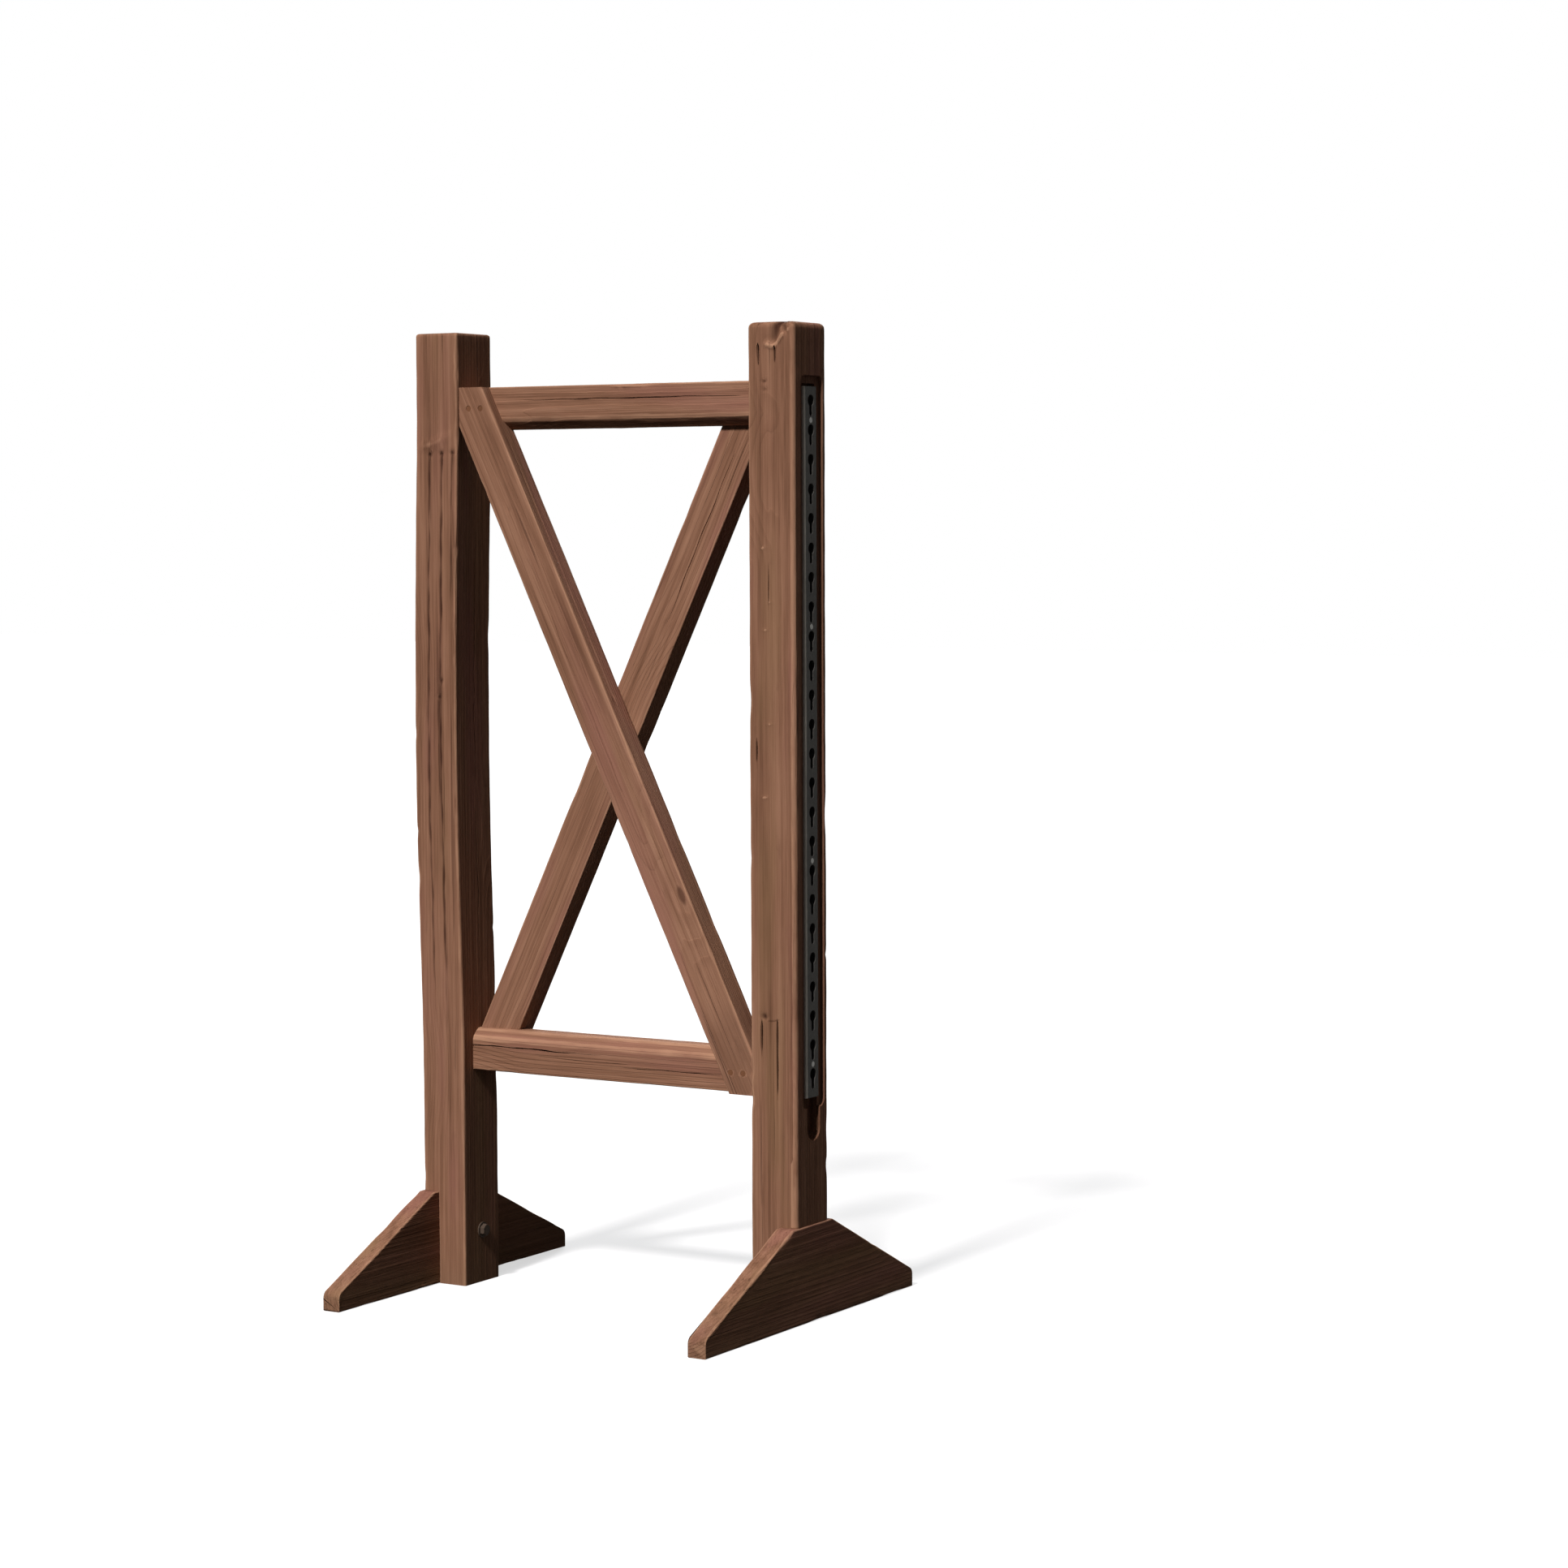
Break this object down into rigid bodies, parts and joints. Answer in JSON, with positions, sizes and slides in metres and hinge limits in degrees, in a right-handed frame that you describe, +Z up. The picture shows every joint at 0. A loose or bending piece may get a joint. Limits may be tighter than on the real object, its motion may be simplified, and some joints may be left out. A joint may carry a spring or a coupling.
{
  "type": "show jump wing",
  "caption": "Free-standing timber show jump wing: stout posts on trapezoid feet, joined by rails and crossed braces, with a keyhole track in one post for pole cups.",
  "frame": {"origin": "on the ground, at the centre of the wing's footprint", "axes": "+X along the wing from the plain post to the track post, -Y towards the viewer at the front, +Z up"},
  "size_m": [0.789, 0.7, 1.71],
  "materials": {
    "stained_timber": "brown stained sawn timber, weathered",
    "bare_wood": "plain turned dowel, out of sight",
    "track_steel": "dull galvanised",
    "zinc_fixings": "zinc plated",
    "stained_fixings": "screw heads stained over with the timber"
  },
  "bodies": {
    "root": {"plain_post": "stained_timber", "track_post": "stained_timber", "top_rail": "stained_timber", "bottom_rail": "stained_timber", "front_brace": "stained_timber", "back_brace": "stained_timber", "plain_foot": "stained_timber", "track_foot": "stained_timber", "keyhole_track": "track_steel", "track_screws": "zinc_fixings", "plain_foot_coach_screw": "zinc_fixings", "plain_foot_washer": "zinc_fixings", "track_foot_coach_screw": "zinc_fixings", "track_foot_washer": "zinc_fixings", "top_rail_plain_dowels": "bare_wood", "top_rail_track_dowels": "bare_wood", "bottom_rail_plain_dowels": "bare_wood", "bottom_rail_track_dowels": "bare_wood", "front_brace_screws": "stained_fixings", "back_brace_screws": "stained_fixings", "cross_screws": "stained_fixings"}
  },
  "joints": []
}
